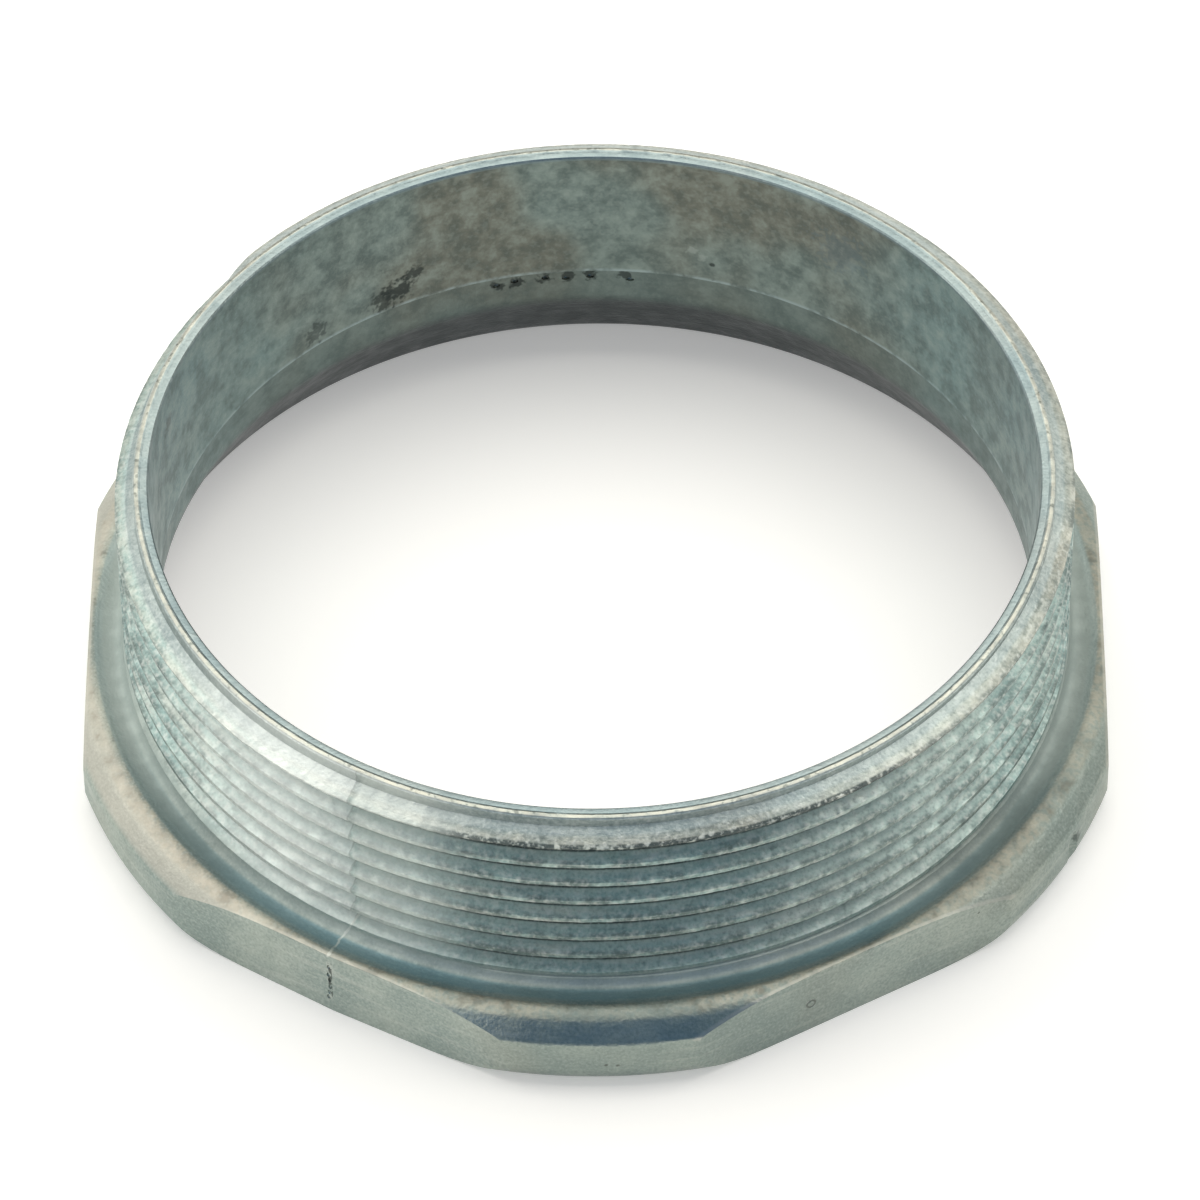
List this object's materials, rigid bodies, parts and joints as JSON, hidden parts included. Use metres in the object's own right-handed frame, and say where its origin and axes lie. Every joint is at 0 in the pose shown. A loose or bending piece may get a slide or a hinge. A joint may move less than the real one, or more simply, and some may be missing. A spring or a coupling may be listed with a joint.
{
  "type": "chase nipple",
  "caption": "Short externally threaded conduit fitting with a wide smooth bore and a hexagonal head with rounded corners, cast whole.",
  "frame": {"origin": "centre of the head's open end face, on the bore axis, where the part rests", "axes": "+Z along the bore axis from the head towards the threaded end; two of the head's flats face +X and -X and a rounded corner faces -Y"},
  "size_m": [0.1218, 0.1288, 0.0359],
  "materials": {
    "zinc_casting": "as-cast zinc alloy, dull satin with grey and whitish oxidised patches"
  },
  "bodies": {
    "root": {"chase_nipple": "zinc_casting"}
  },
  "joints": []
}
